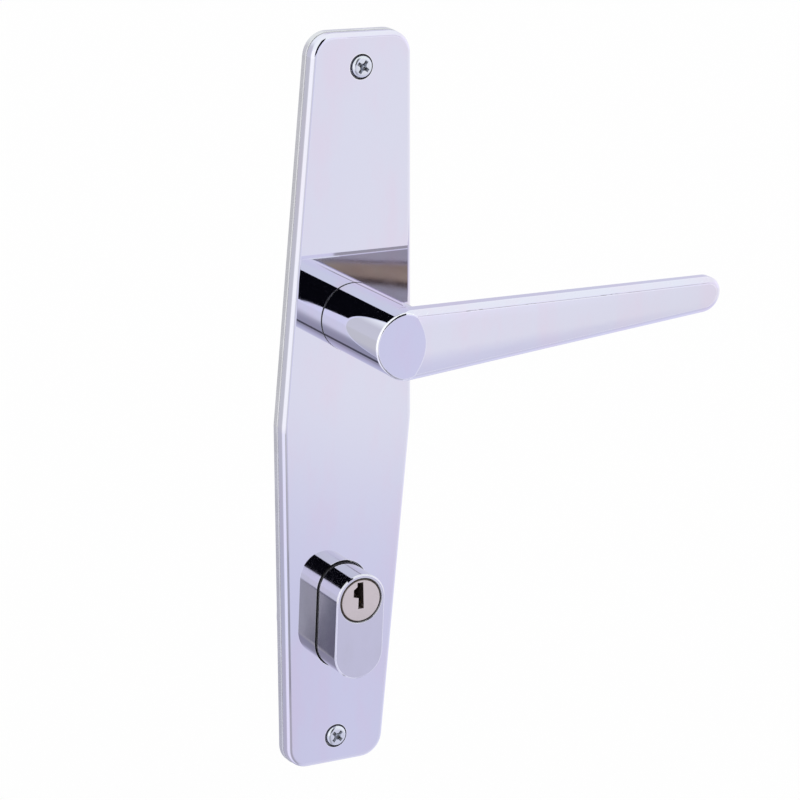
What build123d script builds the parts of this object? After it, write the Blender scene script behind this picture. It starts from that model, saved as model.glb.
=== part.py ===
from build123d import *
import os
from math import acos, cos, sin, radians, degrees

# Outside trim of a door lock: long plate, lever and oval profile cylinder.
# The origin is the lever axis on the door face, +Y points into the door, +Z is up.
# "Out" is the distance from the door face towards the hand, so out = -Y.

# Long plate, seen from the front
plate_length = 235.0
lever_from_top = 0.37234
plate_top_width = 33.6
plate_waist_width = 45.7
plate_bottom_width = 33.8
waist_below_lever = 33.6
plate_corner_radius = 7.5
plate_waist_radius = 26.0

# Cover: a pressed shell over the support plate
plate_depth = 6.0
cover_wall = 1.4
cover_skirt_wall = 1.2
cover_edge_radius = 1.5
cover_inset = 0.25
screw_window_radius = 3.9
screw_window_shift = -0.25

# Support plate: a cast carrier with a rim that shows behind the cover
rim_thickness = 2.3
rim_edge_radius = 0.35
rim_waist_radius = 3.0
carrier_floor = 1.9
carrier_wall = 2.4
carrier_side_gap = 0.15
carrier_front_gap = 0.1
pocket_corner_radius = 3.0
boss_radius = 6.5

# Fixing screws
top_screw_inset = 10.5
bottom_screw_inset = 9.5
screw_shank_radius = 2.0
screw_hole_gap = 0.2
screw_head_radius = 3.45
screw_head_height = 2.3
screw_head_edge = 1.25
screw_length = 22.0
screw_plain_length = 5.1
screw_thread_radius = 1.77
screw_point_bevel = 0.5
recess_width = 1.1
recess_span = 4.3
recess_depth = 1.3
recess_taper_angle = 18.0
recess_core_radius = 1.15
top_recess_turn = 33.0
bottom_recess_turn = 43.0

# Lever neck and its journal in the plate
neck_radius = 10.75
neck_seam = 0.45
journal_radius = 8.0
journal_back = 8.0
journal_flat_width = 14.4
running_gap = 0.05
seat_gap = 0.05

# Lever arm: a flat bar with a crowned front and a round end, tapered along its underside
arm_front_out = 43.1
arm_crown_radius = 65.0
arm_edge_radius = 2.2
arm_back_root_out = 36.5
arm_back_tip_out = 38.0
arm_back_edge = 0.3
arm_reach = 111.2
arm_tip_rise = 0.6
arm_tip_height = 10.75
arm_tip_top_radius = 4.9
arm_tip_low_radius = 6.3
facet_start_out = 40.0
facet_slope = 11.7
facet_edge_radius = 0.7

# Bush, washer, drive disc and ring on the journal
bush_wall = 1.5
bush_flange = 1.0
bush_flange_radius = 10.6
washer_radius = 10.4
washer_thickness = 0.5
axial_gap = 0.1
disc_radius = 15.2
disc_thickness = 1.5
ring_thickness = 1.0
ring_depth = 0.7
ring_radius = 9.6
ring_opening = 50.0
stop_pin_radius = 1.5
stop_pin_orbit = 12.9
stop_pin_angle = 215.0
stop_pin_gap = 0.15
stop_pin_end = 0.9
lever_travel = 45.0

# Return spring round the journal
spring_wire_radius = 0.6
spring_radius = 10.0
spring_turns = 2.3
spring_pitch = 1.45
spring_bend = 0.9
spring_front_leg = 7.0
spring_end_gap = 0.05

# Square spindle and its grub screw
spindle_side = 8.0
spindle_reach = 24.0
spindle_depth = 24.0
spindle_corner = 0.5
spindle_gap = 0.06
grub_radius = 2.5
grub_length = 6.0
grub_out = 13.0
grub_socket = 1.3
grub_socket_depth = 2.6

# Oval cylinder
plug_below_lever = 88.0
cylinder_width = 17.0
cylinder_height = 34.5
cylinder_projection = 12.3
cylinder_length = 39.0
cylinder_edge = 0.35
cover_cutout_gap = 0.5
cover_cutout_rise = 0.2
carrier_cutout_gap = 0.25
cam_centre = 29.5
cam_slot_width = 9.0
cam_nose_gap = 0.6
fixing_hole_radius = 2.1

# Plug, cam and ring
plug_radius = 7.0
plug_edge = 0.4
plug_face_recess = 0.1
plug_back_gap = 0.15
tail_radius = 4.6
tail_flat_width = 7.6
tail_end_radius = 3.4
tail_end_length = 2.6
plug_ring_thickness = 0.8
plug_ring_depth = 0.6
plug_ring_radius = 6.4
cam_radius = 7.6
cam_nose_radius = 14.6
cam_nose_width = 6.4
cam_nose_edge = 1.0
cam_rest_angle = 30.0

# Pins in the plug and the body
pin_count = 5
pin_radius = 1.5
chamber_radius = 1.55
first_pin_depth = 5.5
pin_pitch = 4.2
key_pin_lengths = [4.4, 3.6, 5.0, 4.0, 4.7]
key_pin_point = 0.9
key_pin_tip_radius = 0.5
key_pin_foot_radius = 1.0
key_pin_foot = 0.25
driver_pin_length = 5.0
pin_end_gap = 0.07
chamber_rise = 0.6
cap_length = 2.0
cap_recess = 0.7
pin_spring_radius = 1.12
pin_spring_wire = 0.16
pin_spring_turns = 9

# Keyway, measured from the plug centre
keyway_top = 6.0
keyway_bottom = 2.7
keyway_slot_left = 0.9
keyway_slot_right = 1.1
keyway_head_left = 1.5
keyway_head_right = 0.55
keyway_ward_left = 2.7
keyway_ward_low = 0.9
keyway_ward_high = 3.7

# How far a cutting shape runs past the metal, and how near an edge lies to be picked
cut_margin = 1.0
cutter_reach = 65.0
pick_gap = 0.05

# Values that follow from the sizes above
plate_top_z = plate_length * lever_from_top
plate_bottom_z = plate_top_z - plate_length
upper_screw_z = plate_top_z - top_screw_inset
lower_screw_z = plate_bottom_z + bottom_screw_inset
cover_inner_out = plate_depth - cover_wall
carrier_front_out = cover_inner_out - carrier_front_gap
carrier_back_of_floor = carrier_front_out - carrier_floor
cylinder_front_out = plate_depth + cylinder_projection
cylinder_back_out = cylinder_front_out - cylinder_length
cylinder_low_z = -plug_below_lever - (cylinder_height - cylinder_width)
cylinder_bottom_z = cylinder_low_z - cylinder_width / 2
cam_slot_front_out = cylinder_front_out - cam_centre + cam_slot_width / 2
cam_slot_back_out = cam_slot_front_out - cam_slot_width
web_top_z = -plug_below_lever - cam_nose_radius - cam_nose_gap
fixing_hole_z = (web_top_z + cylinder_bottom_z) / 2
bush_bore = journal_radius + running_gap
bush_radius = bush_bore + bush_wall
bush_back_out = carrier_back_of_floor - bush_flange
washer_front_out = bush_back_out - axial_gap
ring_back_out = -journal_back + ring_thickness
disc_back_out = ring_back_out + ring_thickness + axial_gap
shear_z = -plug_below_lever - plug_radius
key_pin_foot_z = shear_z + pin_end_gap
driver_top_z = shear_z - running_gap - pin_end_gap
cap_low_z = cylinder_bottom_z + cap_recess
cap_top_z = cap_low_z + cap_length
spring_low_z = cap_top_z + pin_end_gap
spring_high_z = driver_top_z - driver_pin_length - pin_end_gap


# Helpers: everything round or flat across the door is drawn on a layer at its "out"
def layer(out):
    return Plane.XZ.offset(out)


def prism(face, back, front):
    return extrude(layer(back) * face, amount=front - back)


def bar(radius, back, front, x=0.0, z=0.0):
    return prism(Pos(x, z) * Circle(radius), back, front)


def upright(radius, low, high, y):
    return Pos(0, y, low) * Cylinder(radius, high - low, align=(Align.CENTER, Align.CENTER, Align.MIN))


def turned(profile, z=0.0):
    ring = revolve(Plane.XY * make_face(Polyline(*profile, close=True)), axis=Axis.Y)
    return Pos(0, 0, z) * ring


def open_ring(inner, outer, back, front, opening, z=0.0):
    ring = bar(outer, back, front, z=z) - bar(inner, back, front, z=z)
    reach = outer + inner
    half = reach * sin(radians(opening / 2))
    gap = make_face(Polyline((0, 0), (-half, -reach), (half, -reach), close=True))
    return ring - prism(Pos(0, z) * gap, back, front)


def two_flats(radius, width, back, front, z=0.0):
    return bar(radius, back, front, z=z) & prism(Pos(0, z) * Rectangle(2 * radius, width), back, front)


# Plate outline
def plate_face(corner_radius, waist_radius):
    right = [
        (plate_top_width / 2, plate_top_z),
        (plate_waist_width / 2, -waist_below_lever),
        (plate_bottom_width / 2, plate_bottom_z),
    ]
    left = [(-x, z) for x, z in reversed(right)]
    face = make_face(Polyline(*right, *left, close=True))
    at_waist = face.vertices().filter_by(lambda v: abs(v.Y + waist_below_lever) < pick_gap)
    face = fillet(at_waist, waist_radius)
    rows = face.vertices().group_by(Axis.Y)
    return fillet(rows[0] + rows[-1], corner_radius)


def oval_face(gap=0.0):
    radius = cylinder_width / 2 + gap
    middle = (cylinder_low_z - plug_below_lever) / 2
    return Pos(0, middle) * SlotCenterToCenter(cylinder_height - cylinder_width, 2 * radius, rotation=90)


def screw_places():
    return [upper_screw_z, lower_screw_z]


def cover_outline():
    return offset(plate_face(plate_corner_radius, plate_waist_radius), -cover_inset)


def cover_plate():
    outline = cover_outline()
    cover = prism(outline, rim_thickness, plate_depth)
    front = cover.faces().sort_by(Axis.Y)[0]
    cover = fillet(front.edges(), cover_edge_radius)
    cover -= prism(offset(outline, -cover_skirt_wall), rim_thickness, cover_inner_out)
    cover -= bar(bush_radius + seat_gap, rim_thickness, plate_depth)
    cover -= Pos(0, 0, cover_cutout_rise) * prism(oval_face(cover_cutout_gap), rim_thickness, plate_depth)
    for z in screw_places():
        cover -= bar(screw_window_radius, rim_thickness, plate_depth, screw_window_shift, z)
    return cover


# Support plate with its rim, bosses and the pockets that open to the door
def carrier_outline(inset=0.0):
    return offset(cover_outline(), -(cover_skirt_wall + carrier_side_gap + inset))


def lightening_pocket(low, high):
    band = Pos(0, (low + high) / 2) * Rectangle(2 * plate_waist_width, high - low)
    pocket = carrier_outline(carrier_wall) & band
    ends = pocket.vertices().filter_by(lambda v: min(abs(v.Y - low), abs(v.Y - high)) < pick_gap)
    return fillet(ends, pocket_corner_radius)


def support_plate():
    rim = prism(plate_face(plate_corner_radius, rim_waist_radius), 0, rim_thickness)
    rim = fillet(rim.faces().sort_by(Axis.Y)[0].edges(), rim_edge_radius)
    plate = rim + prism(carrier_outline(), rim_thickness, carrier_front_out)
    spring_pocket = disc_radius + carrier_wall / 2
    upper_low = spring_pocket + carrier_wall
    upper_high = upper_screw_z - boss_radius
    middle_high = -upper_low
    middle_low = -plug_below_lever + cylinder_width / 2 + carrier_wall
    plate -= prism(lightening_pocket(upper_low, upper_high), 0, carrier_back_of_floor)
    plate -= prism(lightening_pocket(middle_low, middle_high), 0, carrier_back_of_floor)
    plate -= bar(spring_pocket, 0, carrier_back_of_floor)
    plate -= bar(bush_radius + seat_gap, 0, carrier_front_out)
    plate -= prism(oval_face(carrier_cutout_gap), 0, carrier_front_out)
    for z in screw_places():
        plate -= bar(screw_shank_radius + screw_hole_gap, 0, carrier_front_out, z=z)
    x, z = stop_pin_place()
    return plate - bar(stop_pin_radius, carrier_back_of_floor, carrier_front_out, x, z)


# Fixing screws with a cross recess
def cross_recess(top_out):
    slot = Rectangle(recess_span, recess_width) + Rectangle(recess_width, recess_span)
    cross = extrude(layer(top_out) * slot, amount=-recess_depth, taper=recess_taper_angle)
    core_profile = [
        (0, -top_out), (recess_core_radius, -top_out), (0, recess_core_radius + recess_depth - top_out),
    ]
    return cross + turned(core_profile)


def fixing_screw(z, recess_turn):
    top_out = carrier_front_out + screw_head_height
    head = bar(screw_head_radius, carrier_front_out, top_out)
    rim = head.edges().group_by(Axis.Y)[0]
    head = fillet(rim, screw_head_edge)
    thread_front_out = carrier_front_out - screw_plain_length
    shank = bar(screw_shank_radius, thread_front_out, carrier_front_out)
    thread = bar(screw_thread_radius, carrier_front_out - screw_length, thread_front_out)
    thread = chamfer(thread.edges().group_by(Axis.Y)[-1], screw_point_bevel)
    recess = Rot(0, recess_turn, 0) * cross_recess(top_out)
    return Pos(0, 0, z) * (head + shank + thread - recess)


# Lever: neck, elbow with its flat facet, and tapered arm
def arm_edges_at(x):
    share = x / arm_reach
    tip_top = neck_radius + arm_tip_rise
    top = neck_radius + arm_tip_rise * share
    low = -neck_radius + (tip_top - arm_tip_height + neck_radius) * share
    return low, top


def across(x):
    return Plane(origin=(x, 0, 0), x_dir=(0, -1, 0), z_dir=(-1, 0, 0))


def crown_face(x):
    low, top = arm_edges_at(x)
    root_low, root_top = arm_edges_at(0)
    radius = arm_crown_radius * (top - low) / (root_top - root_low)
    depth = arm_front_out - arm_back_root_out + 2 * cut_margin
    band = Pos(arm_front_out + cut_margin - depth / 2, 0) * Rectangle(depth, 2 * (neck_radius + cut_margin))
    face = band & Pos(arm_front_out - radius, 0) * Circle(radius)
    return across(x) * Pos(0, (low + top) / 2) * face


def near(shape, x, y):
    return shape.vertices().sort_by(lambda v: (v.X - x) ** 2 + (v.Y - y) ** 2)[0]


def arm_side_view():
    root_low, root_top = arm_edges_at(0)
    tip_low, tip_top = arm_edges_at(arm_reach)
    side = make_face(Polyline((0, root_top), (arm_reach, tip_top), (arm_reach, tip_low), (0, root_low), close=True))
    side = fillet(near(side, arm_reach, tip_top), arm_tip_top_radius)
    return fillet(near(side, arm_reach, tip_low), arm_tip_low_radius)


def arm_plan_view():
    front_y = -arm_front_out - cut_margin
    corners = [(0, -arm_back_root_out), (0, front_y), (arm_reach, front_y), (arm_reach, -arm_back_tip_out)]
    return make_face(Polyline(*corners, close=True))


def lever_arm():
    arm = loft([crown_face(0), crown_face(arm_reach)], ruled=True)
    arm &= prism(arm_side_view(), 0, arm_front_out + cut_margin)
    arm &= extrude(arm_plan_view(), amount=2 * neck_radius, both=True)
    for place, radius in ((0, arm_edge_radius), (-1, arm_back_edge)):
        face = arm.faces().sort_by(Axis.Y)[place]
        arm = fillet(face.edges().filter_by(lambda e: e.center().X > cut_margin), radius)
    return arm


def elbow(arm):
    root = arm.faces().sort_by(Axis.X)[0]
    block = extrude(root, amount=neck_radius + cut_margin, dir=(-1, 0, 0))
    return block & bar(neck_radius, arm_back_root_out, arm_front_out + cut_margin)


def facet_cutter():
    turn = radians(facet_slope)
    plane = Plane(
        origin=(-neck_radius, -facet_start_out, 0),
        x_dir=(cos(turn), -sin(turn), 0),
        z_dir=(-sin(turn), -cos(turn), 0),
    )
    return extrude(plane * Rectangle(cutter_reach, cutter_reach), amount=cutter_reach)


def journal():
    stub = bar(journal_radius, disc_back_out + disc_thickness + axial_gap, plate_depth + neck_seam)
    stub += two_flats(journal_radius, journal_flat_width, -journal_back, plate_depth)
    groove = bar(journal_radius + cut_margin, ring_back_out, ring_back_out + ring_thickness)
    return stub - (groove - bar(journal_radius - ring_depth, -journal_back, 0))


def spindle_face(gap=0.0):
    side = spindle_side + 2 * gap
    return fillet(Rectangle(side, side).vertices(), spindle_corner)


def lever_handle():
    arm = lever_arm()
    lever = bar(neck_radius, plate_depth + neck_seam, arm_back_root_out) + elbow(arm) + arm - facet_cutter()
    facet = lever.faces().filter_by(GeomType.PLANE).sort_by(lambda f: f.center().X)[0]
    lever = fillet(facet.edges(), facet_edge_radius)
    lever += journal()
    socket_front = spindle_depth - journal_back
    lever -= prism(spindle_face(spindle_gap), -journal_back, socket_front)
    return lever - upright(grub_radius, -neck_radius - cut_margin, 0, -grub_out)


def spindle():
    return prism(spindle_face(), -spindle_reach, spindle_depth - journal_back - axial_gap)


def spindle_grub_screw():
    top = -spindle_side / 2 - seat_gap
    screw = upright(grub_radius, top - grub_length, top, -grub_out)
    hexagon = Plane.XY.offset(top - grub_length) * RegularPolygon(grub_socket, 6)
    return screw - Pos(0, -grub_out, 0) * extrude(hexagon, amount=grub_socket_depth)


# Pieces on the journal
def lever_bush():
    barrel = bar(bush_radius, bush_back_out, plate_depth + neck_seam / 2)
    flange = bar(bush_flange_radius, bush_back_out, carrier_back_of_floor)
    return barrel + flange - bar(bush_bore, bush_back_out, plate_depth + neck_seam)


def thrust_washer():
    back = washer_front_out - washer_thickness
    return bar(washer_radius, back, washer_front_out) - bar(bush_bore, back, washer_front_out)


def stop_pin_place(turn=0.0):
    angle = radians(stop_pin_angle + turn)
    return stop_pin_orbit * cos(angle), stop_pin_orbit * sin(angle)


def stop_pin():
    x, z = stop_pin_place()
    return bar(stop_pin_radius, disc_back_out - stop_pin_end, carrier_front_out, x, z)


def stop_slot():
    radius = stop_pin_radius + stop_pin_gap
    arc = CenterArc((0, 0), stop_pin_orbit, stop_pin_angle, lever_travel)
    slot = trace(arc, 2 * radius)
    for turn in (0, lever_travel):
        slot += Pos(*stop_pin_place(turn)) * Circle(radius)
    return slot


def drive_disc():
    front = disc_back_out + disc_thickness
    disc = bar(disc_radius, disc_back_out, front)
    bore_flats = journal_flat_width + 2 * running_gap
    disc -= two_flats(journal_radius + running_gap, bore_flats, disc_back_out, front)
    disc -= prism(stop_slot(), disc_back_out, front)
    angle = radians(spring_back_angle())
    middle = spring_radius * cos(angle), spring_radius * sin(angle)
    along = -spring_bend * sin(angle), spring_bend * cos(angle)
    leg_hole = spring_wire_radius + stop_pin_gap
    return disc - bar(leg_hole, disc_back_out, front, middle[0] - along[0], middle[1] - along[1])


def lever_ring():
    inner = journal_radius - ring_depth + seat_gap
    front = ring_back_out + ring_thickness - seat_gap
    return open_ring(inner, ring_radius, ring_back_out + seat_gap, front, ring_opening)


# Return spring: a wound wire whose front leg bears on the stop pin, its back leg in the disc
def spring_front_angle():
    to_pin = spring_radius + spring_wire_radius + stop_pin_radius + stop_pin_gap
    return stop_pin_angle - degrees(acos(to_pin / stop_pin_orbit))


def spring_back_angle():
    return spring_front_angle() - 360 * spring_turns


def return_spring():
    height = spring_pitch * spring_turns
    coil = Helix(spring_pitch, height, spring_radius)
    front_leg = Line(coil @ 1, (coil @ 1) + (coil % 1) * spring_front_leg)
    start = coil @ 0
    bend_end = start - Vector(0, spring_bend, spring_bend)
    bend = TangentArc(start, bend_end, tangent=-(coil % 0))
    back_leg = Line(bend_end, bend_end + (bend % 1) * (disc_thickness + spring_end_gap))
    path = Wire([back_leg, bend, coil, front_leg])
    profile = Plane(front_leg @ 1, z_dir=front_leg % 1) * Circle(spring_wire_radius)
    wound = sweep(profile, path=path)
    back_out = disc_back_out + disc_thickness + spring_bend + spring_end_gap
    return layer(back_out) * Rot(0, 0, spring_back_angle()) * wound


# Oval cylinder: body with plug bore, cam slot, pin chambers and fixing hole
def pin_y(index):
    return -(cylinder_front_out - first_pin_depth - index * pin_pitch)


def cylinder_body():
    body = prism(oval_face(), cylinder_back_out, cylinder_front_out)
    body = chamfer(body.faces().sort_by(Axis.Y)[0].edges(), cylinder_edge)
    bore = plug_radius + running_gap
    body -= bar(bore, cam_slot_back_out, cylinder_front_out, z=-plug_below_lever)
    mouth = body.edges().filter_by(GeomType.CIRCLE).filter_by(lambda e: abs(e.radius - bore) < pick_gap)
    body = chamfer(mouth.sort_by(Axis.Y)[0], plug_edge)
    cylinder_top_z = cylinder_bottom_z + cylinder_height
    slot_middle = (web_top_z + cylinder_top_z) / 2
    slot = Pos(0, slot_middle) * Rectangle(2 * cylinder_width, cylinder_top_z - web_top_z)
    body -= prism(slot, cam_slot_back_out, cam_slot_front_out)
    tail_depth = tail_end_length + plug_back_gap
    tail_bore = tail_end_radius + running_gap
    body -= bar(tail_bore, cam_slot_back_out - tail_depth, cam_slot_back_out, z=-plug_below_lever)
    for index in range(pin_count):
        body -= upright(chamber_radius, cylinder_bottom_z - cut_margin, -plug_below_lever, pin_y(index))
    hole_out = cylinder_front_out - cam_centre
    across = Plane(origin=(0, -hole_out, fixing_hole_z), z_dir=(1, 0, 0))
    return body - extrude(across * Circle(fixing_hole_radius), amount=cylinder_width, both=True)


def chamber_caps():
    caps = [upright(chamber_radius, cap_low_z, cap_top_z, pin_y(index)) for index in range(pin_count)]
    return Compound(children=caps)


# Plug with its keyway, chambers and the flatted tail that turns the cam
def keyway_face():
    points = [
        (-keyway_head_left, keyway_top),
        (keyway_head_right, keyway_top),
        (keyway_slot_right, -keyway_bottom),
        (-keyway_slot_left, -keyway_bottom),
        (-keyway_slot_left, keyway_ward_low),
        (-keyway_ward_left, keyway_ward_low + keyway_slot_left / 2),
        (-keyway_ward_left, keyway_ward_high),
        (-keyway_head_left, keyway_ward_high + keyway_slot_left),
    ]
    return Pos(0, -plug_below_lever) * make_face(Polyline(*points, close=True))


def plug():
    z = -plug_below_lever
    front = cylinder_front_out - plug_face_recess
    back = cam_slot_front_out + plug_back_gap
    body = chamfer(bar(plug_radius, back, front, z=z).edges().group_by(Axis.Y)[0], plug_edge)
    tail_back = cam_slot_back_out + plug_back_gap
    body += two_flats(tail_radius, tail_flat_width, tail_back, back, z=z)
    body += bar(tail_end_radius, cam_slot_back_out - tail_end_length, tail_back, z=z)
    ring_front = plug_ring_front_out()
    groove = bar(plug_radius, ring_front - plug_ring_thickness, ring_front, z=z)
    body -= groove - bar(tail_radius - plug_ring_depth, tail_back, back, z=z)
    body -= prism(keyway_face(), back + plug_ring_thickness, cylinder_front_out)
    for index in range(pin_count):
        body -= upright(chamber_radius, shear_z - cut_margin, z + chamber_rise, pin_y(index))
    return body


def plug_ring_front_out():
    return cam_slot_front_out - axial_gap


def plug_ring():
    front = plug_ring_front_out()
    inner = tail_radius - plug_ring_depth + seat_gap
    back = front - plug_ring_thickness + seat_gap
    front -= seat_gap
    return open_ring(inner, plug_ring_radius, back, front, ring_opening, z=-plug_below_lever)


def cam():
    front = plug_ring_front_out() - plug_ring_thickness - axial_gap
    back = cam_slot_back_out + 2 * axial_gap
    nose = Pos(cam_nose_radius / 2, 0) * Rectangle(cam_nose_radius, cam_nose_width)
    nose &= Circle(cam_nose_radius)
    tip = nose.vertices().filter_by(lambda v: v.X > cam_radius)
    outline = Rot(0, 0, cam_rest_angle - 90) * fillet(tip, cam_nose_edge) + Circle(cam_radius)
    solid = prism(Pos(0, -plug_below_lever) * outline, back, front)
    bore_flats = tail_flat_width + 2 * running_gap
    return solid - two_flats(tail_radius + running_gap, bore_flats, back, front, z=-plug_below_lever)


# Pins and their springs stand in one row of chambers
def key_pin(index):
    top = key_pin_foot_z + key_pin_lengths[index]
    outline = [
        (0, key_pin_foot_z),
        (key_pin_foot_radius, key_pin_foot_z),
        (pin_radius, key_pin_foot_z + key_pin_foot),
        (pin_radius, top - key_pin_point),
        (key_pin_tip_radius, top),
        (0, top),
    ]
    pin = revolve(Plane.XZ * make_face(Polyline(*outline, close=True)), axis=Axis.Z)
    return Pos(0, pin_y(index), 0) * pin


def driver_pin(index):
    return upright(pin_radius, driver_top_z - driver_pin_length, driver_top_z, pin_y(index))


def pin_spring(index):
    height = spring_high_z - spring_low_z - 2 * pin_spring_wire
    coil = Helix(height / pin_spring_turns, height, pin_spring_radius)
    wire = sweep(Plane(coil @ 0, z_dir=coil % 0) * Circle(pin_spring_wire), path=coil)
    return Pos(0, pin_y(index), spring_low_z + pin_spring_wire) * wire


def pieces():
    nodes = {
        "cover_plate": cover_plate(),
        "support_plate": support_plate(),
        "fixing_screw_top": fixing_screw(upper_screw_z, top_recess_turn),
        "fixing_screw_bottom": fixing_screw(lower_screw_z, bottom_recess_turn),
        "lever_handle": lever_handle(),
        "lever_bush": lever_bush(),
        "thrust_washer": thrust_washer(),
        "return_spring": return_spring(),
        "stop_pin": stop_pin(),
        "drive_disc": drive_disc(),
        "lever_ring": lever_ring(),
        "spindle": spindle(),
        "spindle_grub_screw": spindle_grub_screw(),
        "cylinder_body": cylinder_body(),
        "chamber_caps": chamber_caps(),
        "plug": plug(),
        "plug_ring": plug_ring(),
        "cam": cam(),
    }
    for index in range(pin_count):
        nodes[f"key_pin_{index + 1}"] = key_pin(index)
        nodes[f"driver_pin_{index + 1}"] = driver_pin(index)
        nodes[f"pin_spring_{index + 1}"] = pin_spring(index)
    return nodes


os.makedirs("parts", exist_ok=True)
for name, shape in pieces().items():
    shape.label = name
    export_step(shape, f"parts/{name}.step")
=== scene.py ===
from math import cos, pi, radians, sin
import bmesh
import bpy
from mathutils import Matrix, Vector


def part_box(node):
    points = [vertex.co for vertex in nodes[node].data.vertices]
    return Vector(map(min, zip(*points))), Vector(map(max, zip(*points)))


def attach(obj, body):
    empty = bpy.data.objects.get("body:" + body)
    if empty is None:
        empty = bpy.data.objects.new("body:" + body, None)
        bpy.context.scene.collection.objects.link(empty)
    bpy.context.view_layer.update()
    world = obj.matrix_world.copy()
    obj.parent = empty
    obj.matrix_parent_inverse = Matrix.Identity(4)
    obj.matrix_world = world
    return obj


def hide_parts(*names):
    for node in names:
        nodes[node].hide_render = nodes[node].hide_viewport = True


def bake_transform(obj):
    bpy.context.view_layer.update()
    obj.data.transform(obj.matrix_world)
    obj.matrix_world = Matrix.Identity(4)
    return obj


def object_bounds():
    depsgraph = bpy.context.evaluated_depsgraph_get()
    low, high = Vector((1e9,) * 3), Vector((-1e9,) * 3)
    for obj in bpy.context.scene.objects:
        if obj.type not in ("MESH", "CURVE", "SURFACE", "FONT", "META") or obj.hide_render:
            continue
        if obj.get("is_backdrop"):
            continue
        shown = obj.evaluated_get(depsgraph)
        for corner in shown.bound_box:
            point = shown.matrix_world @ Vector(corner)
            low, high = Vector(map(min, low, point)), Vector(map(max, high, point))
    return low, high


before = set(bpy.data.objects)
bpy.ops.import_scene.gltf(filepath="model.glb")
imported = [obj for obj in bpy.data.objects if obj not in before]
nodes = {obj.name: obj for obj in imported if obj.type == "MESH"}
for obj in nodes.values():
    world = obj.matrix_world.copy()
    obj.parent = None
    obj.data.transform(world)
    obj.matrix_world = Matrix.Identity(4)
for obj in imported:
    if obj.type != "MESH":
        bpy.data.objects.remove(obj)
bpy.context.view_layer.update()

# The support plate is one die-casting in zinc alloy: it carries every other piece against the door.
# It comes from its mould with a fine grain, is tumbled to take the flash off, and isn't plated.
# Its rim is the thin light line that shows round the cover.
def feed(tree, made, inputs):
    # An input goes by its name or, where a node has several of one name, by its number, as in _0.
    for name, value in inputs.items():
        number = name[1:]
        socket = made.inputs[int(number) if number.isdigit() else name.replace("_", " ")]
        if isinstance(value, bpy.types.NodeSocket):
            tree.links.new(value, socket)
        else:
            socket.default_value = value


def add_node(tree, kind, settings=None, **inputs):
    made = tree.nodes.new(kind)
    for name, value in (settings or {}).items():
        setattr(made, name, value)
    feed(tree, made, inputs)
    return made


def place(tree, kind, settings=None, **inputs):
    return add_node(tree, "ShaderNode" + kind, settings, **inputs)


def object_spot(tree):
    return place(tree, "TexCoord").outputs["Object"]


def calc(tree, operation, *values, clamp=False):
    numbered = {f"_{index}": value for index, value in enumerate(values)}
    return place(tree, "Math", {"operation": operation, "use_clamp": clamp}, **numbered).outputs[0]


def calc_vector(tree, operation, first, second):
    return place(tree, "VectorMath", {"operation": operation}, _0=first, _1=second).outputs


def noise(tree, spot, scale, detail, roughness=0.5):
    made = place(tree, "TexNoise", Vector=spot, Scale=scale, Detail=detail, Roughness=roughness)
    return made.outputs["Fac"]


def share_between(tree, value, none, full, smooth=True):
    curve = "SMOOTHSTEP" if smooth else "LINEAR"
    made = place(tree, "MapRange", {"interpolation_type": curve}, Value=value, From_Min=none, From_Max=full)
    return made.outputs[0]


def mix_colour(tree, share, first, second, mode="MIX"):
    settings = {"data_type": "RGBA", "blend_type": mode}
    return place(tree, "Mix", settings, _0=share, _6=first, _7=second).outputs[2]


def bump(tree, height, distance, **under):
    return place(tree, "Bump", Height=height, Distance=distance, Strength=1.0, **under).outputs[0]


def effect_group(name, inputs, outputs, family="Shader"):
    tree = bpy.data.node_groups.new(name, family + "NodeTree")
    for title, kind, value in inputs:
        socket = tree.interface.new_socket(title, in_out="INPUT", socket_type="NodeSocket" + kind)
        if value is not None:
            socket.default_value = value
    for title, kind in outputs:
        tree.interface.new_socket(title, in_out="OUTPUT", socket_type="NodeSocket" + kind)
    entry = tree.nodes.new("NodeGroupInput")
    leave = tree.nodes.new("NodeGroupOutput")
    return tree, entry.outputs, leave.inputs


def use_effect(tree, group, **inputs):
    return place(tree, "Group", {"node_tree": group}, **inputs).outputs


# Painted shade: ambient occlusion marks creases, recesses and the gaps between parts, where shade falls,
# with a little uneven noise in it.
def crevice_group():
    tree, given, out = effect_group(
        "crevice_shade",
        [("Reach", "Float", 0.001), ("Open", "Float", 0.9), ("Shut", "Float", 0.4),
         ("Blotches", "Float", 0.3)],
        [("Mask", "Float")],
    )
    hollow = place(tree, "AmbientOcclusion", {"samples": 6}, Distance=given["Reach"]).outputs["AO"]
    depth = share_between(tree, hollow, given["Open"], given["Shut"])
    uneven = calc(tree, "SUBTRACT", noise(tree, object_spot(tree), 900.0, 2.0), 0.5)
    shift = calc(tree, "MULTIPLY", uneven, given["Blotches"])
    tree.links.new(calc(tree, "MULTIPLY_ADD", depth, shift, depth, clamp=True), out["Mask"])
    return tree


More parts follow.
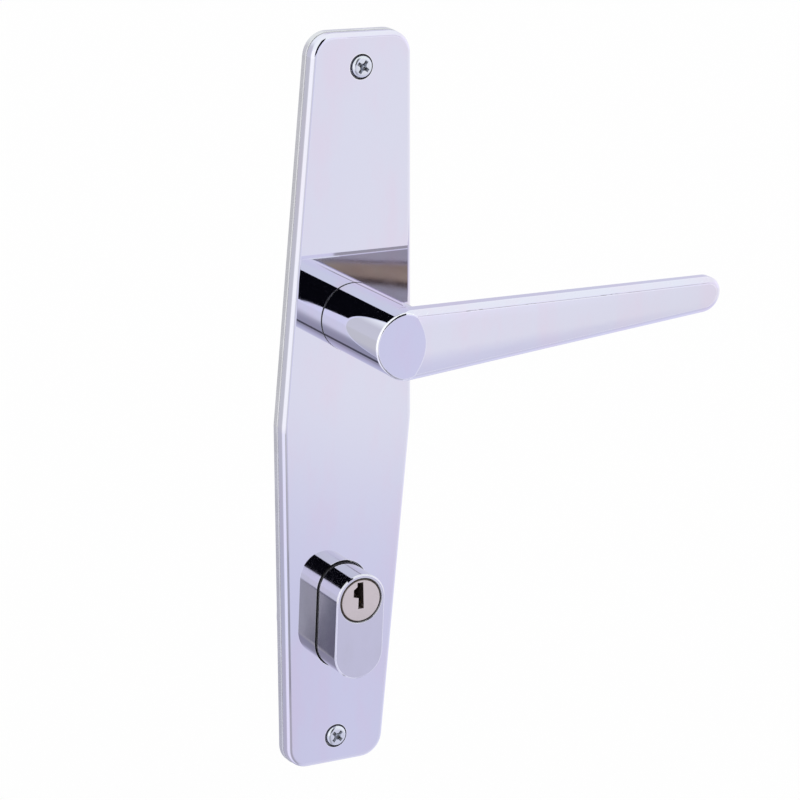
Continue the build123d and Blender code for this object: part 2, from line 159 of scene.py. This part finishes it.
def grain_group():
    tree, given, out = effect_group(
        "casting_grain",
        [("Grain Size", "Float", 0.0004), ("Grain Height", "Float", 0.00002), ("Roughness", "Float", 0.35),
         ("Roughness Spread", "Float", 0.15), ("Tone", "Color", (0.6, 0.6, 0.6, 1.0)),
         ("Stain", "Color", (0.5, 0.5, 0.5, 1.0))],
        [("Color", "Color"), ("Roughness", "Float"), ("Normal", "Vector")],
    )
    spot = object_spot(tree)
    grains = noise(tree, spot, calc(tree, "DIVIDE", 1.0, given["Grain Size"]), 3.0, 0.6)
    clouds = noise(tree, spot, 90.0, 4.0, 0.65)
    patches = share_between(tree, clouds, 0.35, 0.7, smooth=False)
    rough = calc(tree, "MULTIPLY_ADD", grains, given["Roughness Spread"], given["Roughness"])
    tree.links.new(mix_colour(tree, patches, given["Tone"], given["Stain"]), out["Color"])
    tree.links.new(rough, out["Roughness"])
    tree.links.new(bump(tree, grains, given["Grain Height"]), out["Normal"])
    return tree


crevice_shade = crevice_group()
casting_grain = grain_group()
# Near-black colour and dull roughness of the painted shade in crevices.
CREVICE_SHADE = (0.012, 0.011, 0.013)
CREVICE_SHADE_ROUGHNESS = 0.7


def new_finish(name, **constants):
    material = bpy.data.materials.new(name)
    material.use_nodes = True
    tree = material.node_tree
    shader = tree.nodes["Principled BSDF"]
    feed(tree, shader, constants)
    return material, tree, shader


# Paints shade into crevices: where the mask is high the colour goes to the shade colour, and the metal turns
# matt and not metallic.
def finish_metal(tree, shader, skin, normal, reach, shut, shade_colour=CREVICE_SHADE):
    shade_mask = use_effect(tree, crevice_shade, Reach=reach, Shut=shut)["Mask"]
    rough = place(tree, "Mix", {"data_type": "FLOAT"}, _0=shade_mask, _2=skin["Roughness"], _3=CREVICE_SHADE_ROUGHNESS)
    feed(tree, shader, {
        "Base Color": mix_colour(tree, shade_mask, skin["Color"], (*shade_colour, 1.0)),
        "Metallic": calc(tree, "SUBTRACT", 1.0, shade_mask),
        "Roughness": rough.outputs[0],
        "Normal": normal,
    })


def grained_metal(name, tone, stain, grain_size, grain_height, roughness, spread, reach, shut=0.35):
    material, tree, shader = new_finish(name)
    grain = use_effect(tree, casting_grain, Grain_Size=grain_size, Grain_Height=grain_height,
                       Roughness=roughness, Roughness_Spread=spread, Tone=(*tone, 1.0), Stain=(*stain, 1.0))
    finish_metal(tree, shader, grain, grain["Normal"], reach, shut)
    return material


def dress(node, material):
    mesh = nodes[node].data
    mesh.materials.clear()
    mesh.materials.append(material)


cast_zinc = grained_metal("cast_zinc", tone=(0.74, 0.74, 0.77), stain=(0.64, 0.64, 0.66), grain_size=0.0005,
                          grain_height=0.000012, roughness=0.22, spread=0.12, reach=0.0006)
dress("support_plate", cast_zinc)

# The stop pin is a short rod of cold-drawn steel, cut to length and zinc-plated.
# It is pressed into the support plate, and stops the drive disc at both ends of its turn.
bright_zinc = grained_metal("bright_zinc", tone=(0.72, 0.76, 0.82), stain=(0.60, 0.64, 0.70),
                            grain_size=0.0003, grain_height=0.000003, roughness=0.2, spread=0.14,
                            reach=0.0008)
dress("stop_pin", bright_zinc)

# The cover is pressed from thin steel sheet, buffed and chromed to a mirror.
# Buffing leaves slow waves and hair-fine rubs, which show as small drifts in what the mirror shows.
# It clips over the support plate and hides every fixing but the two screws.
def polish_highlight_group():
    tree, given, out = effect_group(
        "polish_and_edge_highlight",
        [("Wave Length", "Float", 0.012), ("Wave Height", "Float", 0.0), ("Rub Height", "Float", 0.0),
         ("Haze", "Float", 0.04), ("Haze Spread", "Float", 0.03), ("Tone", "Color", (0.7, 0.7, 0.8, 1.0)),
         ("Film", "Color", (0.7, 0.68, 0.78, 1.0)), ("Edge Highlight", "Color", (0.97, 0.97, 0.98, 1.0)),
         ("Edge Width", "Float", 0.0003), ("Bare From", "Vector", (1.0, 1.0, 1.0))],
        [("Color", "Color"), ("Roughness", "Float"), ("Normal", "Vector")],
    )
    spot = object_spot(tree)
    waves = noise(tree, spot, calc(tree, "DIVIDE", 1.0, given["Wave Length"]), 1.0, 0.4)
    stretched = place(tree, "Mapping", Vector=spot, Scale=(900.0, 900.0, 60.0)).outputs[0]
    rubs = noise(tree, stretched, 1.0, 3.0, 0.6)
    slow = bump(tree, waves, given["Wave Height"])
    tree.links.new(bump(tree, rubs, given["Rub Height"], Normal=slow), out["Normal"])
    haze_share = share_between(tree, noise(tree, spot, 70.0, 4.0, 0.6), 0.45, 0.75, smooth=False)
    rough = calc(tree, "MULTIPLY_ADD", haze_share, given["Haze Spread"], given["Haze"])
    tree.links.new(rough, out["Roughness"])
    drawn = place(tree, "Mapping", Vector=spot, Scale=(70.0, 70.0, 25.0)).outputs[0]
    film_share = share_between(tree, noise(tree, drawn, 1.0, 5.0, 0.6), 0.42, 0.68)
    filmed = mix_colour(tree, film_share, given["Tone"], given["Film"])
    # Painted highlight: edges, found where the bevelled normal turns from the true one, are coloured
    # brighter, except past the given corner in X and Y.
    rounded = place(tree, "Bevel", {"samples": 4}, Radius=given["Edge Width"]).outputs[0]
    true_normal = place(tree, "NewGeometry").outputs["Normal"]
    agree = calc_vector(tree, "DOT_PRODUCT", rounded, true_normal)["Value"]
    edge = share_between(tree, agree, 0.9997, 0.9965)
    past = calc_vector(tree, "SUBTRACT", spot, given["Bare From"])["Vector"]
    parts = place(tree, "SeparateXYZ", Vector=past).outputs
    before_limit = calc(tree, "LESS_THAN", calc(tree, "MINIMUM", parts["X"], parts["Y"]), 0.0)
    edge_highlight = calc(tree, "MULTIPLY", edge, before_limit)
    tree.links.new(mix_colour(tree, edge_highlight, filmed, given["Edge Highlight"]), out["Color"])
    return tree


polish_and_edge_highlight = polish_highlight_group()
RUB_HEIGHT = 0.0000002
NOWHERE = (1.0, 1.0, 1.0)


# Mirror chrome takes polish bumps, haze and tone drifts, and a painted highlight along its edges.
def mirror_chrome(name, tone, film, wave_length, wave_height, haze, haze_spread, reach, shut,
                  bare_from=NOWHERE):
    material, tree, shader = new_finish(name)
    polish_and_highlight = use_effect(tree, polish_and_edge_highlight, Wave_Length=wave_length, Wave_Height=wave_height,
                        Rub_Height=RUB_HEIGHT, Haze=haze, Haze_Spread=haze_spread, Tone=(*tone, 1.0),
                        Film=(*film, 1.0), Bare_From=bare_from)
    finish_metal(tree, shader, polish_and_highlight, polish_and_highlight["Normal"], reach, shut)
    return material


CHROME = (0.70, 0.70, 0.81)
CHROME_FILM = (0.72, 0.675, 0.79)
plate_chrome = mirror_chrome("plate_chrome", CHROME, CHROME_FILM, wave_length=0.03, wave_height=0.00002,
                             haze=0.02, haze_spread=0.02, reach=0.0006, shut=0.5)
dress("cover_plate", plate_chrome)

# A moulded nylon bush lines the hole in the support plate.
# The lever's journal turns in it, so that no metal runs on metal, and its flange keeps it in place.
nylon, tree, shader = new_finish("bush_nylon", Metallic=0.0, Subsurface_Weight=0.1)
nylon_grain = use_effect(tree, casting_grain, Grain_Size=0.0003, Grain_Height=0.000004, Roughness=0.38,
                         Roughness_Spread=0.2, Tone=(0.80, 0.80, 0.77, 1.0), Stain=(0.74, 0.74, 0.70, 1.0))
feed(tree, shader, {"Base Color": nylon_grain["Color"], "Roughness": nylon_grain["Roughness"],
                    "Normal": nylon_grain["Normal"]})
dress("lever_bush", nylon)

# The washer behind the bush is punched from spring steel strip and polished by its work.
# It keeps the return spring's coils off the nylon.
spring_steel = grained_metal("spring_steel", tone=(0.52, 0.52, 0.54), stain=(0.38, 0.38, 0.40),
                             grain_size=0.0002, grain_height=0.000002, roughness=0.22, spread=0.14,
                             reach=0.0008)
dress("thrust_washer", spring_steel)

# The lever is one zinc casting, buffed and chromed.
# It has a round neck, a flat cut across its elbow and a tapered arm, whose back edges are left without the
# painted edge highlight.
# Its journal turns in the bush behind the plate.
LEVER_BACK_EDGE = (0.012, -0.0395, 0.0)
lever_chrome = mirror_chrome("lever_chrome", CHROME, CHROME_FILM, wave_length=0.02, wave_height=0.000006,
                             haze=0.02, haze_spread=0.02, reach=0.0006, shut=0.35, bare_from=LEVER_BACK_EDGE)
dress("lever_handle", lever_chrome)

# The spindle is an 8 mm square bar of drawn steel, zinc-plated.
# It is pushed into the lever's socket from behind and turns the lock case's follower.
dress("spindle", bright_zinc)

# A short grub screw of hardened, blackened steel goes up into the neck from below.
# Its point clamps the lever on the spindle, and its hexagon socket stays out of sight.
dark_steel = grained_metal("dark_steel", tone=(0.10, 0.10, 0.11), stain=(0.06, 0.06, 0.065),
                           grain_size=0.0003, grain_height=0.000004, roughness=0.3, spread=0.2, reach=0.0008)
dress("spindle_grub_screw", dark_steel)

# The return spring is cold-wound from round, hard-drawn wire, in flat turns round the journal.
# One leg bears on the stop pin and the other sits in the drive disc, so it winds up as the lever turns.
SEAM_WELD = 0.000001
WIRE_END_ANGLE = radians(40)


def welded_copy(node):
    wire = bmesh.new()
    wire.from_mesh(nodes[node].data)
    bmesh.ops.remove_doubles(wire, verts=wire.verts, dist=SEAM_WELD)
    mesh = bpy.data.meshes.new(f"{node}_wire")
    wire.to_mesh(mesh)
    wire.free()
    mesh.attributes.remove(mesh.attributes["custom_normal"])
    mesh.shade_smooth()
    mesh.set_sharp_from_angle(angle=WIRE_END_ANGLE)
    mesh.materials.append(spring_steel)
    return mesh


def working_spring(node):
    dress(node, spring_steel)
    spring = bpy.data.objects.new(f"{node}_wire", welded_copy(node))
    bpy.context.scene.collection.objects.link(spring)
    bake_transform(spring)
    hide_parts(node)


working_spring("return_spring")

# The drive disc is punched from steel sheet and zinc-plated; its flats turn with the journal.
# A spring ring in the journal's groove holds disc, spring and lever together.
dress("drive_disc", bright_zinc)
dress("lever_ring", spring_steel)

# The cylinder body is a drawn brass bar of oval section, milled, bored and thinly chromed.
# Its front is ground flat and buffed. It slides through plate and lock case.
cylinder_chrome = mirror_chrome("cylinder_chrome", (0.63, 0.62, 0.71), (0.60, 0.59, 0.66), wave_length=0.008,
                                wave_height=0.000004, haze=0.06, haze_spread=0.04, reach=0.0011, shut=0.8)
dress("cylinder_body", cylinder_chrome)

# The plug is turned from brass and nickelled, and it turns in the cylinder body's bore.
# Its face keeps the fine rings of the lathe, and the keyway is milled through it.
def ring_group():
    tree, given, out = effect_group(
        "lathe_rings",
        [("Centre", "Vector", (0.0, 0.0, 0.0)), ("Pitch", "Float", 0.0002),
         ("Ring Height", "Float", 0.000002), ("Skin", "Vector", None)],
        [("Normal", "Vector")],
    )
    offset = calc_vector(tree, "SUBTRACT", object_spot(tree), given["Centre"])["Vector"]
    across = calc_vector(tree, "MULTIPLY", offset, (1.0, 0.0, 1.0))["Vector"]
    radius = place(tree, "VectorMath", {"operation": "LENGTH"}, _0=across).outputs["Value"]
    phase = calc(tree, "MULTIPLY", calc(tree, "DIVIDE", radius, given["Pitch"]), 2.0 * pi)
    rings = bump(tree, calc(tree, "SINE", phase), given["Ring Height"], Normal=given["Skin"])
    tree.links.new(rings, out["Normal"])
    return tree


lathe_rings = ring_group()


def turned_metal(name, axis_node, pitch, ring_height, tone, stain, roughness, spread, reach, shut,
                 shade_colour=CREVICE_SHADE):
    material, tree, shader = new_finish(name)
    grain = use_effect(tree, casting_grain, Grain_Size=0.0003, Grain_Height=0.000002, Roughness=roughness,
                       Roughness_Spread=spread, Tone=(*tone, 1.0), Stain=(*stain, 1.0))
    low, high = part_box(axis_node)
    centre = [(a + b) / 2 for a, b in zip(low, high)]
    rings = use_effect(tree, lathe_rings, Centre=centre, Pitch=pitch, Ring_Height=ring_height,
                       Skin=grain["Normal"])
    finish_metal(tree, shader, grain, rings["Normal"], reach, shut, shade_colour)
    return material


# Painted shade for the plug's hollows is dark brown: the bare brass of the milled keyway, seen in shade.
KEYWAY_SHADE_BROWN = (0.05, 0.03, 0.02)
plug_nickel = turned_metal("plug_nickel", "plug", pitch=0.00025, ring_height=0.0000015,
                           tone=(0.70, 0.63, 0.62), stain=(0.64, 0.58, 0.56), roughness=0.26, spread=0.14,
                           reach=0.0013, shut=0.8, shade_colour=KEYWAY_SHADE_BROWN)
dress("plug", plug_nickel)

# Each chamber holds a turned brass key pin, a nickelled driver pin and its own fine spring.
# Five brass caps, pressed in from below, close the chambers.
brass = grained_metal("pin_brass", tone=(0.72, 0.53, 0.26), stain=(0.60, 0.42, 0.20), grain_size=0.0003,
                      grain_height=0.000002, roughness=0.2, spread=0.15, reach=0.0006)
satin_nickel = grained_metal("satin_nickel", tone=(0.66, 0.60, 0.58), stain=(0.60, 0.55, 0.53),
                             grain_size=0.0003, grain_height=0.000003, roughness=0.28, spread=0.15,
                             reach=0.0008, shut=0.45)
dress("chamber_caps", brass)
CHAMBERS = 5
for number in range(1, CHAMBERS + 1):
    dress(f"key_pin_{number}", brass)
    dress(f"driver_pin_{number}", satin_nickel)
    working_spring(f"pin_spring_{number}")

# The cam is pressed and sintered from steel powder, so it is grey and slightly porous.
# A spring ring in the plug's groove keeps the plug in the body.
sintered_steel = grained_metal("sintered_steel", tone=(0.30, 0.29, 0.28), stain=(0.20, 0.19, 0.18),
                               grain_size=0.0003, grain_height=0.00002, roughness=0.45, spread=0.2,
                               reach=0.0008)
dress("cam", sintered_steel)
dress("plug_ring", spring_steel)

# Two M4 pan-head screws of zinc-plated steel go into the lock case and pull the plate flat on the door.
# Their heads are cold-formed with a cross recess, and sit in the cover's windows.
for node in ("fixing_screw_top", "fixing_screw_bottom"):
    screw_zinc = turned_metal(f"{node}_zinc", node, pitch=0.0003, ring_height=0.000001,
                              tone=(0.74, 0.76, 0.82), stain=(0.66, 0.69, 0.75), roughness=0.17, spread=0.14,
                              reach=0.0006, shut=0.35)
    dress(node, screw_zinc)

# The M4 thread is rolled on the blank: a ridge of 0.7 mm pitch that runs up to just behind the point.
# One ridge is swept along a spiral for each screw and turned to lie along its shank.
THREAD_PITCH = 0.0007
THREAD_LENGTH = 0.0154
THREAD_RADIUS = 0.0017
RIDGE_HEIGHT = 0.00028
BLUNT_POINT = 0.0006
RUN_OUT_SHARE = 0.025
RUN_OUT_HEIGHT = 0.2


def thread_tree():
    tree, given, out = effect_group(
        "rolled_thread",
        [("Turns", "Float", 20.0), ("Radius", "Float", THREAD_RADIUS), ("Length", "Float", THREAD_LENGTH),
         ("Ridge", "Float", RIDGE_HEIGHT), ("Start", "Vector", (0.0, 0.0, 0.0)),
         ("Finish", "Material", None)],
        [("Geometry", "Geometry")],
        "Geometry",
    )

    def step(kind, settings=None, **inputs):
        return add_node(tree, "GeometryNode" + kind, settings, **inputs).outputs[0]

    path = step("CurveSpiral", Resolution=36, Rotations=given["Turns"], Start_Radius=given["Radius"],
                End_Radius=given["Radius"], Height=given["Length"])
    path = step("SetCurveNormal", {"mode": "Z_UP"}, Curve=path)
    ridge = step("CurvePrimitiveQuadrilateral", {"mode": "KITE"},
                 Width=calc(tree, "MULTIPLY", given["Ridge"], 2.0), Bottom_Height=given["Ridge"],
                 Top_Height=given["Ridge"])
    from_end = calc(tree, "PINGPONG", step("SplineParameter"), 0.5)
    run_out = place(tree, "MapRange", Value=from_end, From_Min=0.0, From_Max=RUN_OUT_SHARE,
                    To_Min=RUN_OUT_HEIGHT, To_Max=1.0).outputs[0]
    thread = step("CurveToMesh", Curve=path, Profile_Curve=ridge, Scale=run_out, Fill_Caps=True)
    thread = step("Transform", Geometry=thread, Translation=given["Start"], Rotation=(pi / 2, 0.0, 0.0))
    thread = step("RealizeInstances", Geometry=thread)
    thread = step("SetMaterial", Geometry=thread, Material=given["Finish"])
    tree.links.new(thread, out["Geometry"])
    return tree


rolled_thread = thread_tree()
thread_zinc = grained_metal("thread_zinc", tone=(0.72, 0.74, 0.80), stain=(0.62, 0.65, 0.71),
                            grain_size=0.0003, grain_height=0.000003, roughness=0.2, spread=0.14,
                            reach=0.0005)
sockets = {item.name: item.identifier for item in rolled_thread.interface.items_tree
           if item.in_out == "INPUT"}
for end in ("top", "bottom"):
    low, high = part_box(f"fixing_screw_{end}")
    start = ((low[0] + high[0]) / 2, high[1] - BLUNT_POINT, (low[2] + high[2]) / 2)
    blank = bpy.data.objects.new("thread_blank", bpy.data.meshes.new("thread_blank"))
    bpy.context.scene.collection.objects.link(blank)
    rolling = blank.modifiers.new("rolled_thread", "NODES")
    rolling.node_group = rolled_thread
    for title, value in (("Turns", THREAD_LENGTH / THREAD_PITCH), ("Radius", THREAD_RADIUS),
                         ("Length", THREAD_LENGTH), ("Ridge", RIDGE_HEIGHT), ("Start", start),
                         ("Finish", thread_zinc)):
        rolling[sockets[title]] = value
    bpy.context.view_layer.update()
    shaped = blank.evaluated_get(bpy.context.evaluated_depsgraph_get())
    thread = bpy.data.objects.new(f"screw_thread_{end}", bpy.data.meshes.new_from_object(shaped))
    bpy.data.objects.remove(blank)
    bpy.context.scene.collection.objects.link(thread)
    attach(thread, "trim")

# The studio is a white tent round the lock, open at the front for the camera, over a pale floor.
# Camera rays see plain white; only the metal sees the tent's tones, the opening and the cards.
# A tone is an azimuth in degrees, the red and green, and the blue: near on the floor, far on floor and wall.
FAR_TONES = (
    (90, 1.12, 1.14), (138, 0.97, 0.99), (150, 1.00, 1.035), (164, 0.90, 1.0), (173, 0.825, 0.985),
    (181, 0.79, 0.88), (196, 0.79, 0.84), (206, 0.80, 0.82), (210, 1.14, 1.16), (231, 1.14, 1.14),
    (290, 1.17, 1.17), (309, 0.78, 0.80), (330, 0.69, 0.71), (364, 0.66, 0.73), (394, 0.70, 0.79),
    (416, 1.00, 1.02), (450, 1.12, 1.14),
)
NEAR_TONES = (
    (90, 0.92, 1.09), (138, 0.79, 0.90), (150, 0.82, 0.97), (164, 0.74, 0.87), (173, 0.67, 0.79),
    (181, 0.50, 0.56), (196, 0.48, 0.54), (206, 0.47, 0.53), (211, 0.53, 0.60), (219, 0.56, 0.62),
    (231, 0.94, 1.10), (290, 0.97, 1.14), (309, 0.64, 0.75), (330, 0.57, 0.67), (364, 0.55, 0.65),
    (394, 0.60, 0.71), (416, 0.82, 0.97), (450, 0.92, 1.09),
)
FIRST_AZIMUTH = 90
HIGH_WALL = (1.07, 1.07, 1.11, 1.0)
WHITE = (1.0, 1.0, 1.0, 1.0)


def tent_wall(tree, direction, stops):
    axes = place(tree, "SeparateXYZ", Vector=direction).outputs
    angle = calc(tree, "ARCTAN2", axes["X"], axes["Y"])
    turns = calc(tree, "MULTIPLY_ADD", angle, 0.5 / pi, -FIRST_AZIMUTH / 360)
    ramp = place(tree, "ValToRGB", Fac=calc(tree, "FRACT", turns))
    points = ramp.color_ramp.elements
    for azimuth, tone, blue in stops[1:-1]:
        points.new((azimuth - FIRST_AZIMUTH) / 360).color = (tone, tone, blue, 1.0)
    for point, (azimuth, tone, blue) in ((points[0], stops[0]), (points[len(points) - 1], stops[-1])):
        point.color = (tone, tone, blue, 1.0)
    return ramp.outputs["Color"]


def plain_paint(name):
    material = bpy.data.materials.new(name)
    material.use_nodes = True
    material.node_tree.nodes.clear()
    return material, material.node_tree


def glow(tree, colour, strength=1.0):
    return place(tree, "Emission", Color=colour, Strength=strength).outputs[0]


def choose(tree, share, first, second):
    return place(tree, "MixShader", _0=share, _1=first, _2=second).outputs[0]


def flat_card(name, corners, material):
    mesh = bpy.data.meshes.new(name)
    mesh.from_pydata(corners, [], [tuple(range(len(corners)))])
    mesh.materials.append(material)
    card = bpy.data.objects.new(name, mesh)
    bpy.context.scene.collection.objects.link(card)
    card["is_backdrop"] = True
    return card


FLOOR_Z = -0.30
FLOOR_HALF = 12.0
FLOOR_GREY = (0.5, 0.5, 0.5, 1.0)
FLOOR_GLOW = 0.52
NEAR_FLOOR, FAR_FLOOR = 0.5, 0.95
FLOOR_END, WALL_START = 2.0, 9.0
floor_paint, tree = plain_paint("floor_paint")
spot = object_spot(tree)
level = calc_vector(tree, "MULTIPLY", spot, (1.0, 1.0, 0.0))["Vector"]
far = place(tree, "VectorMath", {"operation": "LENGTH"}, _0=level).outputs["Value"]
ground = mix_colour(tree, share_between(tree, far, NEAR_FLOOR, FAR_FLOOR), tent_wall(tree, spot, NEAR_TONES),
                    tent_wall(tree, spot, FAR_TONES))
paint = mix_colour(tree, share_between(tree, far, FLOOR_END, WALL_START), ground, HIGH_WALL, "MULTIPLY")
matt = place(tree, "BsdfDiffuse", Color=FLOOR_GREY).outputs[0]
pale = place(tree, "AddShader", _0=matt, _1=glow(tree, WHITE, FLOOR_GLOW)).outputs[0]
rays = place(tree, "LightPath").outputs
place(tree, "OutputMaterial", Surface=choose(tree, rays["Is Glossy Ray"], pale, glow(tree, paint)))
floor_corners = ((-1, -1), (1, -1), (1, 1), (-1, 1))
flat_card("floor", [(x * FLOOR_HALF, y * FLOOR_HALF, FLOOR_Z) for x, y in floor_corners], floor_paint)


def glossy_only(card):
    card.visible_camera = False
    card.visible_shadow = False
    card.visible_diffuse = False


def card_paint(name, tone, streak=None):
    material, tree = plain_paint(name)
    along = place(tree, "Mapping", Vector=object_spot(tree), Scale=(60.0, 60.0, 320.0)).outputs[0]
    share = share_between(tree, noise(tree, along, 1.0, 3.0), 0.42, 0.66, smooth=False)
    colour = mix_colour(tree, share, (*tone, 1.0), (*(streak or tone), 1.0))
    place(tree, "OutputMaterial", Surface=glow(tree, colour))
    return material


def toward(azimuth, distance):
    return distance * sin(radians(azimuth)), distance * cos(radians(azimuth))


def upright(left, right, low_z, high_z):
    return [(*left, low_z), (*right, low_z), (*right, high_z), (*left, high_z)]


OPENING_LEFT, OPENING_RIGHT = 178, 212
OPENING_DISTANCE = 3
OPENING_HEIGHT = 5.0
OPENING_BLACK = (0.003, 0.003, 0.005)
opening = upright(toward(OPENING_LEFT, OPENING_DISTANCE), toward(OPENING_RIGHT, OPENING_DISTANCE), 0.0,
                  OPENING_HEIGHT)
glossy_only(flat_card("tent_opening", opening, card_paint("opening_black", OPENING_BLACK)))
CARD_Z = FLOOR_Z + 0.001
FLOOR_CARDS = (
    ("floor_line", (0.12, 0.12, 0.14), ((-0.095, -0.58), (-0.04, -0.58), (-0.04, -0.40), (-0.095, -0.40))),
    ("flank_card", (0.24, 0.24, 0.28), ((-0.375, -0.624), (-0.340, -0.564), (-0.192, -0.368),
                                        (-0.165, -0.33), (-0.23, -0.30), (-0.43, -0.60))),
    ("flank_card_side", (0.64, 0.64, 0.62), ((-0.375, -0.624), (-0.36, -0.634), (-0.325, -0.574),
                                             (-0.177, -0.376), (-0.15, -0.34), (-0.165, -0.33),
                                             (-0.192, -0.368), (-0.340, -0.564))),
)
for name, tone, outline in FLOOR_CARDS:
    glossy_only(flat_card(name, [(x, y, CARD_Z) for x, y in outline], card_paint(f"{name}_paint", tone)))

# Boards stand behind the lock to the right, in bands of grey, brown and olive, each a little nearer.
# They show only twice mirrored, in the plate beside the neck. One more, high in front, greys the strip
# where the plate mirrors the arm's top.
BOARD_MIDDLE, BOARD_RIGHT = (0.318, 0.457), (0.857, -0.515)
BOARD_HALF = 0.06
BOARD_STEP = 0.002
SLANT = 0.085
BOARD_BANDS = (
    ("grey", -0.1358, -0.06, 0.0, (0.54, 0.54, 0.53), (0.50, 0.50, 0.50)),
    ("line", -0.1374, -0.1358, 0.0, (0.16, 0.14, 0.14), (0.30, 0.26, 0.26)),
    ("brown", -0.17, -0.1374, 0.0, (0.46, 0.39, 0.27), (0.36, 0.29, 0.20)),
    ("edge", -0.1471, -0.1441, SLANT, (0.05, 0.035, 0.03), (0.10, 0.08, 0.07)),
    ("olive", -0.20, -0.1471, SLANT, (0.42, 0.44, 0.44), (0.50, 0.52, 0.52)),
)
for depth, (name, low_z, high_z, slant, tone, streak) in enumerate(BOARD_BANDS):
    nearer = 1.0 - depth * BOARD_STEP
    corners = []
    for side, z in ((-1, low_z), (1, low_z), (1, high_z), (-1, high_z)):
        x, y = [(middle + side * BOARD_HALF * across) * nearer
                for middle, across in zip(BOARD_MIDDLE, BOARD_RIGHT)]
        corners.append((x, y, z - side * BOARD_HALF * slant))
    glossy_only(flat_card(f"board_{name}", corners, card_paint(f"board_{name}_paint", tone, streak)))
HIGH_BOARD_GREY = (0.52, 0.52, 0.51)
high_board = upright((0.2515, -0.47), (0.42, -0.47), 0.117, 0.146)
glossy_only(flat_card("board_high", high_board, card_paint("board_high_paint", HIGH_BOARD_GREY)))

# Above the floor the tent's wall goes on, and it is brightest overhead, where the lamps shine through.
# Everything but the metal takes a plain, even light from it.
ROOF = (1.10, 1.14, 1.13, 1.0)
ROOF_START, ROOF_FULL = 0.26, 0.50
SOFT_LIGHT = 0.95
world = bpy.data.worlds.new("studio")
bpy.context.scene.world = world
world.use_nodes = True
tree = world.node_tree
tree.nodes.clear()
direction = place(tree, "TexCoord").outputs["Generated"]
climb = place(tree, "SeparateXYZ", Vector=direction).outputs["Z"]
wall = mix_colour(tree, 1.0, tent_wall(tree, direction, FAR_TONES), HIGH_WALL, "MULTIPLY")
tent = mix_colour(tree, share_between(tree, climb, ROOF_START, ROOF_FULL), wall, ROOF)
mirrored = place(tree, "Background", Color=tent, Strength=1.0).outputs[0]
soft = place(tree, "Background", Color=WHITE, Strength=SOFT_LIGHT).outputs[0]
seen = place(tree, "Background", Color=WHITE, Strength=1.0).outputs[0]
rays = place(tree, "LightPath").outputs
lit = choose(tree, rays["Is Glossy Ray"], soft, mirrored)
place(tree, "OutputWorld", Surface=choose(tree, rays["Is Camera Ray"], lit, seen))

# The camera stands to the left of the lock and a little above it, as in the photograph.
# A long lens keeps the plate's edges nearly parallel.
lens = bpy.data.cameras.new("camera")
lens.lens = 135.0
lens.sensor_width = 36.0
camera = bpy.data.objects.new("camera", lens)
camera.location = (-0.4368, -0.7727, 0.2395)
camera.rotation_euler = [radians(angle) for angle in (73.247, -2.395, -29.961)]
bpy.context.scene.collection.objects.link(camera)
bpy.context.scene.camera = camera
bpy.context.scene.view_settings.view_transform = "Standard"

low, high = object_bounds()
